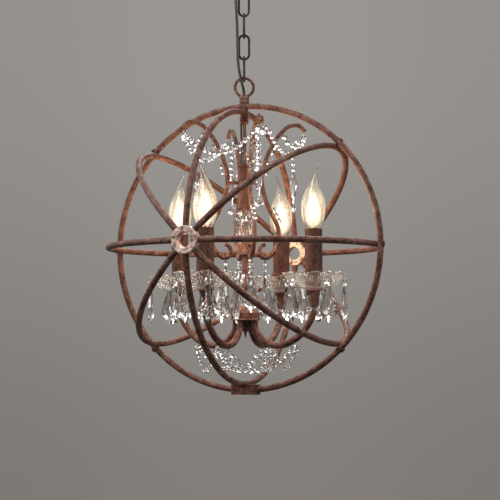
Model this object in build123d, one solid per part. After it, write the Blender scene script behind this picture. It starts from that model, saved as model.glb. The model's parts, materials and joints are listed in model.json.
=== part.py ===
"""An iron orb of rings round a four-light crystal chandelier, hung on a chain from a ceiling canopy.

Millimetres, +Z up. The origin is the middle of the ceiling face of the canopy.
The hubs of the orb lie on the Y axis, the outer ring in the XZ plane.
"""

import os
from math import atan2, cos, hypot, pi, radians, sin, sqrt, tan

from build123d import *

# Ceiling fitting
canopy_diameter = 120.0
canopy_height = 28.0
canopy_wall = 1.5
canopy_flat_diameter = 48.0
strap_length = 100.0
strap_width = 20.0
strap_thickness = 2.5
strap_hole_spacing = 70.0
strap_hole_diameter = 5.0
shank_diameter = 10.0
nut_across_flats = 17.0
nut_thickness = 5.0
terminal_length = 24.0
terminal_width = 14.0
terminal_height = 10.0
terminal_offset = 24.0
bush_length = 22.0
bush_diameter = 8.4
bush_tip_diameter = 6.0
bush_flange_diameter = 11.0
bush_flange_thickness = 2.0

# Loops, chain and cord
loop_wire = 4.4
loop_radius = 13.8
loop_sink = 0.5
collar_diameter = 15.0
collar_height = 11.0
collar_groove = 1.2
cord_bore = 5.5
link_wire = 3.5
link_length = 40.0
link_width = 18.5
link_play = 0.3
link_count = 4
hang_turn = 23.0
cord_diameter = 4.2

# Orb
ring_radius = 211.0
rod_diameter = 9.0
ring_play = 0.2
hub_diameter = 39.0
hub_bore = 20.5
hub_thickness = 12.0
hub_edge = 1.2
rivet_diameter = 4.0
rivet_head_diameter = 7.5
rivet_head_height = 1.5
clip_length = 42.0
clip_width = 16.0
clip_height = 15.0
clip_wall = 2.2
boss_diameter = 11.0
coupling_diameter = 14.6
coupling_height = 12.5
coupling_beads = 3

# Column
stem_diameter = 5.0
stem_seat = 6.0
column_top = 124.0
sleeve_diameter = 18.0
sleeve_wall = 1.8
sleeve_bottom = 58.0
sleeve_cap = 6.0
tube_diameter = 10.0
tube_bore = 6.0
tube_top = 96.0
lead_diameter = 3.4
lead_offset = 4.8
glass_collar_diameter = 24.0
glass_collar_height = 15.0
glass_ball_diameter = 20.0
glass_ball_level = -47.0
column_facets = 10
spider_thickness = 4.0
spider_bar = 6.0
spider_ring_wall = 3.0
upper_spider_level = 96.0
lower_spider_level = -9.0
hub_top_level = -84.0
hub_floor_level = -108.0
arm_hub_diameter = 42.0
arm_hub_wall = 2.5
finial_neck_diameter = 6.0
finial_ball_diameter = 13.0
finial_length = 28.0

# Candelabrum
candle_count = 4
candle_turn = -6.0
arm_diameter = 10.0
arm_bore = 4.4
arm_lead_diameter = 3.8
arm_start_radius = 16.0
arm_low_share = 0.47
arm_low_level = -146.5
cup_bottom_level = -88.0
cup_top_level = -63.7
cup_disc_diameter = 25.0
cup_disc_thickness = 2.3
cup_socket = 6.0
cup_wall = 1.5
bobeche_diameter = 93.0
bobeche_height = 24.0
bobeche_base_diameter = 48.0
bobeche_wall = 3.0
bobeche_hole = 11.0
bobeche_lobes = 12
bobeche_scallop = 3.6
sleeve_candle_diameter = 25.4
sleeve_candle_wall = 1.4
sleeve_candle_top = 23.6
holder_diameter = 20.6
holder_lamp_bore = 14.4
holder_bore_depth = 28.0
lamp_cap_diameter = 13.8
lamp_flange_diameter = 18.0
lamp_flange_thickness = 3.0
lamp_post_diameter = 4.0
lamp_post_length = 40.0
lamp_glass_length = 94.3
lamp_glass_diameter = 35.0
lamp_glass_wall = 0.9
lamp_tip_bend = 8.4
scroll_rod = 6.5

# Crystals
drop_count = 5
drop_radius = 44.5
drop_level = -50.5
drop_clearance = 3.3
pin_wire = 1.2
pin_inset = 3.5
pin_head_diameter = 3.4
pin_hole_play = 0.3
octagon_size = 12.0
pendalogue_length = 52.0
pendalogue_width = 30.0
pendalogue_thickness = 10.0
spear_length = 46.0
spear_width = 13.0
skirt_length = 30.0
skirt_width = 8.0
skirt_count = 8
rosette_diameter = 19.0
small_rosette_diameter = 14.0
bead_size = 9.0
ring_bead_size = 6.4
crystal_gap = 0.5
seat_gap = 0.2

# Places worked out from the sizes above
rod = rod_diameter / 2
meridian_radius = ring_radius - rod_diameter - ring_play
orb_reach = ring_radius + rod
hub_cut_length = 5 * hub_thickness
octagon_half = octagon_size / 2 * cos(pi / 8)
octagon_hang = octagon_half - pin_wire
octagon_foot = octagon_hang + octagon_half
drop_foot = drop_level - octagon_foot - crystal_gap - pendalogue_length
ring_room = sqrt((meridian_radius - rod) ** 2 - drop_foot**2)
candle_radius = ring_room - drop_radius - drop_clearance
loop_seat = loop_radius - loop_sink
link_pitch = link_length - link_wire
loop_contact = loop_wire / 2 + link_wire / 2 + link_play
link_contact = link_wire + link_play
canopy_ring_level = -canopy_height - collar_height - loop_seat
pivot_levels = [canopy_ring_level - loop_radius]
pivot_levels.append(pivot_levels[0] + loop_contact - link_pitch)
for _ in range(link_count - 1):
    pivot_levels.append(pivot_levels[-1] + link_contact - link_pitch)
top_ring_level = pivot_levels[-1] + loop_contact - loop_radius
collar_top = top_ring_level - loop_seat
orb_level = collar_top - collar_height - orb_reach
candle_angles = [candle_turn + 360 / candle_count * i for i in range(candle_count)]
scroll_angles = [a + 180 / candle_count for a in candle_angles]
candle_names = ["right", "rear", "left", "front"]
hang = Rot(0, 0, hang_turn)
orb = Pos(0, 0, orb_level)
pieces = {}


def turned(profile):
    """A solid of revolution about Z from (radius, level) points."""
    return revolve(Plane.XZ * make_face(Polyline(*profile, close=True)), Axis.Z)


def tube(points, diameter, name=None):
    """A round bar along straight runs joined by arcs as large as the runs allow."""
    runs = [(Vector(*b) - Vector(*a)) for a, b in zip(points, points[1:])]
    radii = []
    for before, after in zip(runs, runs[1:]):
        half_turn = radians(before.get_angle(after)) / 2
        radii.append(0.45 * min(before.length, after.length) / tan(half_turn))
    if name:
        print(name, "bend radii:", [round(r, 1) for r in radii])
    path = FilletPolyline(*points, radius=radii)
    section = Plane(origin=path @ 0, z_dir=path % 0) * Circle(diameter / 2)
    return sweep(section, path=path)


def solids(shape):
    """The solids of a shape as a list."""
    return list(shape.solids()) if hasattr(shape, "solids") else list(shape)


def keep(name, *shapes, at=Pos()):
    """Files the solids of some shapes under a node's name, moved to their place."""
    pieces.setdefault(name, []).extend(s.moved(at) for shape in shapes for s in solids(shape))


def polar(radius, angle, level):
    """A point at a radius, an angle in degrees and a level."""
    return Vector(radius * cos(radians(angle)), radius * sin(radians(angle)), level)


# Ceiling fitting
canopy_rim = canopy_diameter / 2
canopy_flat = canopy_flat_diameter / 2
canopy_shoulder = canopy_height * 0.6
canopy_outer = [
    (canopy_rim, 0),
    (canopy_rim - canopy_wall, -canopy_shoulder * 0.5),
    (canopy_rim * 0.75 + canopy_flat * 0.25, -canopy_shoulder),
    (canopy_flat, -canopy_height),
]
canopy_inner = [(r - canopy_wall, z + canopy_wall * (z < 0)) for r, z in canopy_outer]
shank_hole = shank_diameter / 2 + seat_gap
canopy_floor = canopy_wall - canopy_height
canopy_profile = [(shank_hole, -canopy_height), *reversed(canopy_outer)]
canopy_profile += [*canopy_inner, (shank_hole, canopy_floor)]
canopy = turned(canopy_profile)
bush_place = hang * Pos(-13.0, -7.0, 0)
bush_hole = Cylinder(bush_diameter / 2 + seat_gap, canopy_height)
keep("ceiling_canopy", canopy - bush_place * Pos(0, 0, -canopy_height) * bush_hole)

strap = Pos(0, 0, -strap_thickness / 2) * Box(strap_length, strap_width, strap_thickness)
strap -= Cylinder(shank_hole, 4 * strap_thickness)
for side in (-1, 1):
    strap -= Pos(side * strap_hole_spacing / 2, 0, 0) * Cylinder(strap_hole_diameter / 2, 4 * strap_thickness)
keep("ceiling_strap", strap)

nut = extrude(RegularPolygon(nut_across_flats / 2, 6, major_radius=False), -nut_thickness)
nut -= Cylinder(shank_hole, 4 * nut_thickness)
keep("shank_nut", nut, at=Pos(0, 0, -strap_thickness))

terminal_place = Pos(terminal_offset, 0, -strap_thickness - terminal_height / 2)
terminal = fillet(Box(terminal_length, terminal_width, terminal_height).edges().filter_by(Axis.Z), 1.5)
for slot in (-1, 0, 1):
    terminal -= Pos(slot * terminal_length / 3.5, 0, -terminal_height / 2) * Cylinder(1.8, terminal_height)
keep("terminal_block", terminal, at=terminal_place)

bush_bore = cord_diameter / 2 + seat_gap
bush = turned(
    [
        (bush_bore, canopy_wall + 2),
        (bush_diameter / 2, canopy_wall + 2),
        (bush_diameter / 2, -seat_gap),
        (bush_flange_diameter / 2, -seat_gap),
        (bush_flange_diameter / 2, -bush_flange_thickness),
        (bush_diameter / 2, -bush_flange_thickness - 1),
        (bush_tip_diameter / 2, -bush_length),
        (bush_bore, -bush_length),
    ]
)
keep("cord_bush", bush, at=bush_place * Pos(0, 0, -canopy_height))


# Loops, chain and cord
def collared_loop():
    """A wire loop standing on a beaded collar whose foot is at level 0."""
    wide = collar_diameter / 2
    groove = wide - collar_groove
    edge = collar_height / 11
    collar = turned(
        [
            (0, 0),
            (groove, 0),
            (wide, 1.5 * edge),
            (wide, 4.5 * edge),
            (groove, 5.5 * edge),
            (wide, 6.5 * edge),
            (wide, 9.5 * edge),
            (groove, 11 * edge),
            (0, 11 * edge),
        ]
    )
    ring = Pos(0, 0, collar_height + loop_seat) * Rot(90, 0, 0) * Torus(loop_radius, loop_wire / 2)
    return collar + ring


bore_reach = collar_height + loop_wire
loop_bore = Pos(0, 0, bore_reach / 2 - 0.5) * Cylinder(cord_bore / 2, bore_reach + 1)
keep("top_loop", collared_loop() - loop_bore, at=hang * Pos(0, 0, collar_top - collar_height))

shank_length = canopy_height - seat_gap
shank = Pos(0, 0, -shank_length / 2) * Cylinder(shank_diameter / 2, shank_length)
loop_place = hang * Pos(0, 0, -canopy_height) * Rot(0, 0, 90) * Rot(180, 0, 0)
keep("canopy_loop", collared_loop() + shank, at=loop_place)

link_path = SlotCenterToCenter(link_length - link_width, link_width - link_wire).wire()
link_section = Plane(origin=link_path @ 0, z_dir=link_path % 0) * Circle(link_wire / 2)
link = Rot(0, 90, 0) * sweep(link_section, path=link_path)
for i in range(link_count):
    middle = pivot_levels[i + 1] + link_pitch / 2
    facing = 90 if i % 2 else 0
    keep(f"chain_link_{link_count - i}", link, at=hang * Pos(0, 0, middle) * Rot(0, 0, 90 + facing))

# The cord's route beside the chain: across the chain to the right, towards the viewer, and below the ceiling
cord_route = [
    (-13.0, 7.0, -20.0),
    (-13.0, 7.0, -62.0),
    (-10.4, 6.3, -106.0),
    (-9.6, 6.5, -150.0),
    (-9.0, 6.3, -175.0),
    (-4.6, 5.6, -196.0),
    (-0.2, 0.3, -211.5),
    (0.0, 0.0, -222.5),
]
cord_points = [tuple((hang * Pos(u, -w, z)).position) for u, w, z in cord_route]
supply_cord = tube(cord_points, cord_diameter, "supply cord")
keep("supply_cord", supply_cord)

# Orb
hub_centre = meridian_radius
boss_radius = boss_diameter / 2
boss_core = Pos(0, 0, meridian_radius) * Cylinder(boss_radius + seat_gap / 2, 4 * rod_diameter)
hub_core = Rot(90, 0, 0) * Cylinder(hub_diameter / 2 + seat_gap / 2, hub_cut_length)
hub_cores = [Pos(0, side * hub_centre, 0) * hub_core for side in (-1, 1)]
rivet_angles = [0, 45, 135, 180, 225, 315]
rivet_inner = meridian_radius - rod / 2
rivet_turns = [Rot(0, -a, 0) * Rot(0, 90, 0) for a in rivet_angles]
rivet_hole_length = orb_reach - rivet_inner + 2
rivet_hole = Cylinder(rivet_diameter / 2 + seat_gap / 2, rivet_hole_length)
rivet_holes = [turn * Pos(0, 0, rivet_inner + rivet_hole_length / 2) * rivet_hole for turn in rivet_turns]
outer_ring = Rot(90, 0, 0) * Torus(ring_radius, rod) - boss_core
for hole in rivet_holes:
    outer_ring -= hole
keep("outer_ring", outer_ring, at=orb)

meridians = {"level_ring": 0, "rising_ring": -45, "upright_ring": 90, "falling_ring": 45}
for name, tilt in meridians.items():
    half_arcs = Rot(0, tilt, 0) * Torus(meridian_radius, rod)
    for core in hub_cores:
        half_arcs -= core
    if name == "upright_ring":
        half_arcs -= boss_core
    else:
        for hole in rivet_holes:
            half_arcs -= hole
    keep(name, half_arcs, at=orb)

hub = Rot(90, 0, 0) * (Cylinder(hub_diameter / 2, hub_thickness) - Cylinder(hub_bore / 2, 2 * hub_thickness))
hub = chamfer(hub.edges().filter_by(GeomType.CIRCLE), hub_edge)
keep("orb_hubs", *[Pos(0, side * hub_centre, 0) * hub for side in (-1, 1)], at=orb)

rivet_length = orb_reach - rivet_inner
rivet = Pos(0, 0, rivet_inner + seat_gap + rivet_length / 2) * Cylinder(rivet_diameter / 2, rivet_length)
rivet_head = Cylinder(rivet_head_diameter / 2, rivet_head_height)
rivet_head = fillet(rivet_head.edges().sort_by(Axis.Z)[-1], rivet_head_height * 0.6)
rivet += Pos(0, 0, orb_reach + seat_gap + rivet_head_height / 2) * rivet_head
keep("ring_rivets", *[turn * rivet for turn in rivet_turns], at=orb)

clip_bottom = -orb_reach - clip_wall
clip = Pos(0, 0, clip_bottom + clip_height / 2) * Box(clip_length, clip_width, clip_height)
clip = fillet(clip.edges().filter_by(Axis.Z), clip_wall)
clip -= Rot(90, 0, 0) * Torus(ring_radius, rod + seat_gap)
clip -= Rot(0, 90, 0) * Torus(meridian_radius, rod + seat_gap)
keep("bottom_clip", max(solids(clip), key=lambda s: s.volume), at=orb)

# Boss and coupling at the crossing of the rings, with the lead's way through
boss_top = orb_reach
coupling_top = meridian_radius - rod - seat_gap
coupling_bottom = coupling_top - coupling_height
bead_pitch = coupling_height / coupling_beads
coupling_profile = [(0, boss_top), (boss_radius, boss_top), (boss_radius, coupling_top)]
for i in range(coupling_beads):
    level = coupling_top - i * bead_pitch
    coupling_profile.append((boss_radius, level - bead_pitch * 0.1))
    coupling_profile.append((coupling_diameter / 2, level - bead_pitch * 0.35))
    coupling_profile.append((coupling_diameter / 2, level - bead_pitch * 0.65))
    coupling_profile.append((boss_radius, level - bead_pitch * 0.9))
coupling_profile.append((boss_radius, coupling_bottom))
coupling_profile.append((0, coupling_bottom))
boss = turned(coupling_profile)
stem_top = coupling_bottom + stem_seat
boss -= Pos(0, 0, stem_top - 10) * Cylinder(stem_diameter / 2 + seat_gap / 2, 20)

lead_top = boss_top + 7.5
tube_bottom = hub_top_level - arm_hub_wall
lead_route = [
    (0.0, lead_top),
    (0.15, boss_top - 4),
    (lead_offset, coupling_top),
    (lead_offset + 0.3, coupling_bottom - 6),
    (lead_offset - 0.2, (coupling_bottom + column_top) / 2),
    (lead_offset, column_top + 2),
    (lead_offset - 0.3, column_top - sleeve_cap - 3),
    (0.8, tube_top + 2),
    (0.1, tube_top - 16),
    (0.2, tube_bottom - 6),
]
lead_points = [tuple((hang * Pos(-s, 0, z)).position) for s, z in lead_route]
lead = tube(lead_points, lead_diameter, "main lead")
lead_way = tube(lead_points[:5], lead_diameter + 2 * seat_gap)
keep("ring_boss", boss - lead_way, at=orb)
keep("wiring", lead, at=orb)

# Column
stem_foot = column_top - sleeve_cap + seat_gap
stem_length = stem_top - seat_gap - stem_foot
keep("stem_rod", Cylinder(stem_diameter / 2, stem_length), at=orb * Pos(0, 0, stem_foot + stem_length / 2))

sleeve_outer = sleeve_diameter / 2
sleeve_inner = sleeve_outer - sleeve_wall
tube_hole = tube_diameter / 2 + seat_gap
column_sleeve = turned(
    [
        (stem_diameter / 2 + seat_gap / 2, column_top),
        (sleeve_outer - 1, column_top),
        (sleeve_outer + 1.5, column_top - 2),
        (sleeve_outer + 1.5, column_top - 4),
        (sleeve_outer, column_top - 5),
        (sleeve_outer, sleeve_bottom + 4),
        (sleeve_outer + 1.5, sleeve_bottom + 3),
        (sleeve_outer + 1.5, sleeve_bottom),
        (tube_hole, sleeve_bottom),
        (tube_hole, sleeve_bottom + 4),
        (sleeve_inner, sleeve_bottom + 5),
        (sleeve_inner, column_top - sleeve_cap),
        (stem_diameter / 2 + seat_gap / 2, column_top - sleeve_cap),
    ]
)
cap_way = hang * Pos(-lead_offset, 0, column_top) * Cylinder(lead_diameter / 2 + 2 * seat_gap, 4 * sleeve_cap)
cap_way &= Pos(0, 0, column_top) * Cylinder(sleeve_inner + 1, 4 * sleeve_cap)
keep("column_sleeve", column_sleeve - cap_way, at=orb)

tube_length = tube_top - tube_bottom
column_tube = Cylinder(tube_diameter / 2, tube_length) - Cylinder(tube_bore / 2, 2 * tube_length)
keep("column_tube", column_tube, at=orb * Pos(0, 0, (tube_top + tube_bottom) / 2))


def faceted(profile, sides):
    """A bored glass turning with flat facets: polygons of (radius, level) joined by straight walls."""
    body = None
    for (low_r, low_z), (high_r, high_z) in zip(profile, profile[1:]):
        low = Pos(0, 0, low_z) * RegularPolygon(low_r, sides)
        high = Pos(0, 0, high_z) * RegularPolygon(high_r, sides)
        slab = loft([low, high], ruled=True)
        body = slab if body is None else body + slab
    return body - Cylinder(tube_hole, 1000)


collar_r = glass_collar_diameter / 2
collar_low = sleeve_bottom - seat_gap - glass_collar_height
glass_collar = faceted(
    [
        (collar_r * 0.62, collar_low),
        (collar_r, collar_low + glass_collar_height * 0.4),
        (collar_r, collar_low + glass_collar_height * 0.6),
        (collar_r * 0.62, collar_low + glass_collar_height),
    ],
    column_facets,
)
keep("glass_collar", glass_collar, at=orb)

ball_r = glass_ball_diameter / 2
ball_profile = []
for step in range(-3, 4):
    tilt = radians(step * 20)
    ball_profile.append((ball_r * cos(tilt), glass_ball_level + ball_r * sin(tilt)))
keep("glass_ball", faceted(ball_profile, column_facets), at=orb)

# Lyre scrolls and the spiders that carry them
waist_radius = 24.5
curl_radius = 22.0
scroll_route = [
    (95.0, 176.0),
    (86.0, 186.0),
    (68.0, 184.0),
    (48.0, 163.0),
    (33.0, 134.0),
    (waist_radius, upper_spider_level + 4),
    (34.0, 64.0),
    (54.0, 28.0),
    (49.0, 0.0),
    (36.0, -16.0),
    (25.0, -15.0),
    (curl_radius - 0.5, lower_spider_level + 3),
    (24.5, 3.0),
    (31.0, 5.0),
]
scroll = tube([(r, 0, z) for r, z in scroll_route], scroll_rod, "scroll")
scroll_bodies = [Rot(0, 0, a) * scroll for a in scroll_angles]
keep("lyre_scrolls", *scroll_bodies, at=orb)


def spider(level, hole, reach):
    """A ring on the column with a bar out to each scroll."""
    plate = Cylinder(hole + spider_ring_wall, spider_thickness)
    for a in scroll_angles:
        plate += Rot(0, 0, a) * Pos(reach / 2, 0, 0) * Box(reach, spider_bar, spider_thickness)
    plate -= Cylinder(hole, 4 * spider_thickness)
    plate = Pos(0, 0, level) * plate
    for a in scroll_angles:
        plate -= Rot(0, 0, a) * tube([(r, 0, z) for r, z in scroll_route], scroll_rod + 2 * seat_gap)
    return max(solids(plate), key=lambda s: s.volume)


keep("scroll_spiders", spider(upper_spider_level, sleeve_outer + seat_gap, waist_radius), at=orb)
keep("scroll_spiders", spider(lower_spider_level, tube_hole, curl_radius - 1), at=orb)

# Arm hub and finial
hub_r = arm_hub_diameter / 2
hub_wall = arm_hub_wall
arm_hole = arm_diameter / 2 + seat_gap
finial_hole = finial_neck_diameter / 2 + seat_gap / 2
arm_hub = turned(
    [
        (tube_hole, hub_top_level),
        (tube_hole + 4, hub_top_level),
        (hub_r * 0.7, hub_top_level - 6),
        (hub_r, hub_top_level - 13),
        (hub_r, hub_floor_level + 2),
        (hub_r + 1.5, hub_floor_level + 1),
        (hub_r + 1.5, hub_floor_level),
        (finial_hole, hub_floor_level),
        (finial_hole, hub_floor_level + hub_wall),
        (hub_r - hub_wall, hub_floor_level + hub_wall),
        (hub_r - hub_wall, hub_top_level - 14),
        (hub_r * 0.7 - hub_wall, hub_top_level - 8.5),
        (tube_hole, hub_top_level - hub_wall - 1.5),
    ]
)
for a in candle_angles:
    arm_hub -= Rot(0, 0, a) * Pos(arm_start_radius, 0, hub_floor_level) * Cylinder(arm_hole, 4 * hub_wall)
keep("arm_hub", arm_hub, at=orb)

neck = finial_neck_diameter / 2
finial_top = hub_floor_level + hub_wall
finial_ball_centre = hub_floor_level - finial_ball_diameter * 0.85
finial_ball_r = finial_ball_diameter / 2
finial_profile = [(0, finial_top), (neck, finial_top), (neck, finial_ball_centre + finial_ball_r * 0.9)]
for step in (50, 25, 0, -25, -50):
    tilt = radians(step)
    finial_profile.append((finial_ball_r * cos(tilt), finial_ball_centre + finial_ball_r * sin(tilt)))
finial_profile += [(neck * 0.8, finial_ball_centre - finial_ball_r), (0, hub_floor_level - finial_length)]
keep("hub_finial", turned(finial_profile), at=orb)

# Arms with their leads
arm_low_radius = arm_start_radius + arm_low_share * (candle_radius - arm_start_radius)
arm_route = [
    (arm_start_radius, hub_floor_level + hub_wall + 2),
    (arm_start_radius, hub_floor_level - 14),
    (arm_start_radius + 18, arm_low_level + 3.5),
    (arm_low_radius, arm_low_level),
    (candle_radius - 24, arm_low_level + 13.5),
    (candle_radius - 6, cup_bottom_level - 22),
    (candle_radius - 0.2, cup_bottom_level - 8),
    (candle_radius, cup_bottom_level + cup_socket - seat_gap),
]
arm_points = [(r, 0, z) for r, z in arm_route]
arm = tube(arm_points, arm_diameter, "arm") - tube(arm_points, arm_bore)
arm_lead = tube(arm_points, arm_lead_diameter)
keep("candle_arms", *[Rot(0, 0, a) * arm for a in candle_angles], at=orb)
keep("wiring", *[Rot(0, 0, a) * arm_lead for a in candle_angles], at=orb)

# Candle stacks
candles = [Rot(0, 0, a) * Pos(candle_radius, 0, 0) for a in candle_angles]
arm_r = arm_diameter / 2
wire_hole = arm_bore / 2
cup_neck = arm_hole + cup_wall
disc_r = cup_disc_diameter / 2
disc_bottom = cup_top_level - cup_disc_thickness
socket_top = cup_bottom_level + cup_socket
cup = turned(
    [
        (wire_hole, cup_top_level),
        (disc_r, cup_top_level),
        (disc_r, disc_bottom),
        (disc_r * 0.72, disc_bottom - 0.6),
        (disc_r * 0.66, disc_bottom - 5),
        (cup_neck + 0.4, socket_top - 1),
        (cup_neck, cup_bottom_level),
        (arm_hole, cup_bottom_level),
        (arm_hole, socket_top),
        (wire_hole, socket_top),
    ]
)
keep("candle_cups", *[at * cup for at in candles], at=orb)

dish_low = cup_top_level + seat_gap
dish_floor = dish_low + bobeche_wall
dish_rim = dish_low + bobeche_height
dish_r = bobeche_diameter / 2
dish_base = bobeche_base_diameter / 2
dish_mid_r = (dish_r + dish_base) / 2
dish_mid = dish_low + bobeche_height * 0.36
dish_hole = bobeche_hole / 2
dish = turned(
    [
        (dish_hole, dish_low),
        (dish_base, dish_low),
        (dish_mid_r, dish_mid),
        (dish_r, dish_rim - bobeche_wall * 0.5),
        (dish_r, dish_rim),
        (dish_r - bobeche_wall * 0.8, dish_rim),
        (dish_mid_r - bobeche_wall * 0.8, dish_mid + bobeche_wall * 0.8),
        (dish_base - bobeche_wall * 0.5, dish_floor),
        (dish_hole, dish_floor),
    ]
)
lobe_centre = dish_r - bobeche_scallop * 3
lobe_half = pi / bobeche_lobes
lobe_radius = hypot(dish_r - bobeche_scallop - lobe_centre * cos(lobe_half), lobe_centre * sin(lobe_half))
flower = Circle(lobe_centre)
for i in range(bobeche_lobes):
    flower += Rot(0, 0, 360 / bobeche_lobes * i) * Pos(lobe_centre, 0) * Circle(lobe_radius)
dish &= Pos(0, 0, dish_low - 1) * extrude(flower, bobeche_height + 2)
drop_angles = [180 + 360 / drop_count * j for j in range(drop_count)]
pin_radius = drop_radius - pin_inset
pin_way = Pos(pin_radius, 0, dish_rim) * Cylinder(pin_wire / 2 + seat_gap, 2 * bobeche_height)
for a in drop_angles:
    dish -= Rot(0, 0, a) * pin_way
keep("bobeches", *[at * dish for at in candles], at=orb)

holder_low = cup_top_level + seat_gap / 2
holder_seat = dish_floor + seat_gap
holder_top = sleeve_candle_top - 5.6
holder_r = holder_diameter / 2
lamp_bore = holder_lamp_bore / 2
holder = turned(
    [
        (wire_hole, holder_low),
        (dish_hole - seat_gap, holder_low),
        (dish_hole - seat_gap, holder_seat),
        (holder_r, holder_seat),
        (holder_r, holder_top),
        (lamp_bore, holder_top),
        (lamp_bore, holder_top - holder_bore_depth),
        (wire_hole, holder_top - holder_bore_depth),
    ]
)
keep("lampholders", *[at * holder for at in candles], at=orb)

sleeve_r = sleeve_candle_diameter / 2
sleeve_height = sleeve_candle_top - holder_seat
candle_sleeve = Cylinder(sleeve_r, sleeve_height) - Cylinder(sleeve_r - sleeve_candle_wall, 2 * sleeve_height)
candle_sleeve = chamfer(candle_sleeve.edges().group_by(Axis.Z)[-1], sleeve_candle_wall * 0.35)
candle_sleeve = Pos(0, 0, holder_seat + sleeve_height / 2) * candle_sleeve
keep("candle_sleeves", *[at * candle_sleeve for at in candles], at=orb)

glass_low = sleeve_candle_top - 0.4
flange_top = glass_low - seat_gap
flange_low = flange_top - lamp_flange_thickness
cap_low = holder_top - holder_bore_depth + seat_gap
post_r = lamp_post_diameter / 2
lamp_base = turned(
    [
        (0, cap_low),
        (lamp_cap_diameter * 0.3, cap_low),
        (lamp_cap_diameter / 2, cap_low + 3),
        (lamp_cap_diameter / 2, flange_low),
        (lamp_flange_diameter / 2, flange_low),
        (lamp_flange_diameter / 2, flange_top),
        (post_r, flange_top),
        (post_r, flange_top + lamp_post_length * 0.95),
        (post_r * 0.5, flange_top + lamp_post_length),
        (0, flange_top + lamp_post_length),
    ]
)
keep("lamp_bases", *[at * lamp_base for at in candles], at=orb)

# Shares of the lamp's length, of its greatest radius and of the bend of its tip, from foot to tip
lamp_shape = [
    (0.0, 0.58, 0.0),
    (0.1, 0.84, 0.0),
    (0.24, 0.985, 0.0),
    (0.37, 1.0, 0.0),
    (0.5, 0.87, 0.0),
    (0.61, 0.61, 0.02),
    (0.72, 0.37, 0.12),
    (0.83, 0.21, 0.36),
    (0.92, 0.12, 0.67),
    (1.0, 0.05, 1.0),
]
lamp_tip_angles = [26.0, 100.0, 190.0, 300.0]


def lamp_envelope(shrink, length):
    """The flame-shaped glass, its wall taken off where it is the hollow inside."""
    sections = []
    for along, wide, bend in lamp_shape:
        radius = max(wide * lamp_glass_diameter / 2 - shrink, 0.25)
        sections.append(Pos(bend * lamp_tip_bend, 0, glass_low + along * length) * Circle(radius))
    return loft(sections)


lamp_glass = lamp_envelope(0, lamp_glass_length) - lamp_envelope(lamp_glass_wall, lamp_glass_length * 0.985)
for at, turn in zip(candles, lamp_tip_angles):
    keep("lamp_glasses", at * Rot(0, 0, turn) * max(solids(lamp_glass), key=lambda s: s.volume), at=orb)


# Crystals: faceted glass with its outline in the XZ plane and its thickness along Y
def crystal(outline, heart, thickness, shoulder=0.58, rise=0.78, edge=0.14):
    """A flat-sided crystal: a thin girdle, a sloped tier and a shallow crown on both faces."""
    half = thickness / 2
    tiers = []
    for scale, depth in ((1, edge * half), (shoulder, rise * half)):
        ring = [(heart[0] + (x - heart[0]) * scale, heart[1] + (z - heart[1]) * scale) for x, z in outline]
        tiers.append((ring, depth))
    faces = []
    count = len(outline)
    for side in (-1, 1):
        rings = [[Vector(x, side * depth, z) for x, z in ring] for ring, depth in tiers]
        crown = Vector(heart[0], side * half, heart[1])
        for i in range(count):
            j = (i + 1) % count
            faces.append([rings[0][i], rings[0][j], rings[1][j], rings[1][i]])
            faces.append([rings[1][i], rings[1][j], crown])
    front = [Vector(x, edge * half, z) for x, z in outline]
    back = [Vector(x, -edge * half, z) for x, z in outline]
    for i in range(count):
        j = (i + 1) % count
        faces.append([front[i], front[j], back[j], back[i]])
    return Solid(Shell([Face(Wire.make_polygon(f, close=True)) for f in faces]))


def round_outline(size, points, notch=1.0, start=0.0):
    """A round outline about the middle, every second point drawn in by the notch."""
    outline = []
    for i in range(points):
        radius = size / 2 * (notch if i % 2 else 1)
        angle = start + 2 * pi * i / points
        outline.append((radius * sin(angle), radius * cos(angle)))
    return outline


def pendalogue_outline(length, width):
    """A narrow-topped drop, widest low down, with an ogee point at the bottom; its top is at level 0."""
    half = [(0.21, 0.0), (0.36, 0.13), (0.6, 0.32), (0.83, 0.5)]
    half += [(1.0, 0.68), (0.92, 0.77), (0.62, 0.835), (0.3, 0.89)]
    right = [(x * width / 2, -z * length) for x, z in half]
    return right + [(0, -length)] + [(-x, z) for x, z in reversed(right)]


octagon = crystal(round_outline(octagon_size, 8, 1.0, pi / 8), (0, 0), octagon_size * 0.5)
pin_hole = Rot(90, 0, 0) * Cylinder(pin_wire / 2 + pin_hole_play, octagon_size)
octagon_drop = Pos(0, 0, -octagon_hang) * octagon - pin_hole
pendalogue_form = pendalogue_outline(pendalogue_length, pendalogue_width)
pendalogue = crystal(pendalogue_form, (0, -0.62 * pendalogue_length), pendalogue_thickness)
drop = [*solids(octagon_drop), Pos(0, 0, -octagon_foot - crystal_gap) * pendalogue]

pin_r = pin_wire / 2
pin_top = dish_rim
pin_leg_length = pin_top - drop_level
pin_bar_length = 2 * pin_inset
pin = Pos(-pin_inset, 0, pin_leg_length / 2) * Cylinder(pin_r, pin_leg_length)
pin += Pos(-pin_inset, 0, 0) * Sphere(pin_r)
pin += Pos(-pin_inset + pin_bar_length / 2, 0, 0) * Rot(0, 90, 0) * Cylinder(pin_r, pin_bar_length)
pin += Pos(pin_inset, 0, 0) * Rot(0, 90, 0) * Cylinder(pin_head_diameter / 2, pin_wire)
pin += Pos(-pin_inset, 0, pin_leg_length) * Cylinder(pin_head_diameter / 2, pin_wire)
for at, candle in zip(candles, candle_names):
    for j, a in enumerate(drop_angles):
        hook = at * Rot(0, 0, a) * Pos(drop_radius, 0, drop_level)
        keep("crystal_pins", hook * pin, at=orb)
        keep(f"drop_{candle}_{j + 1}", *[hook * Rot(0, 0, 90) * s for s in drop], at=orb)

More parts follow.
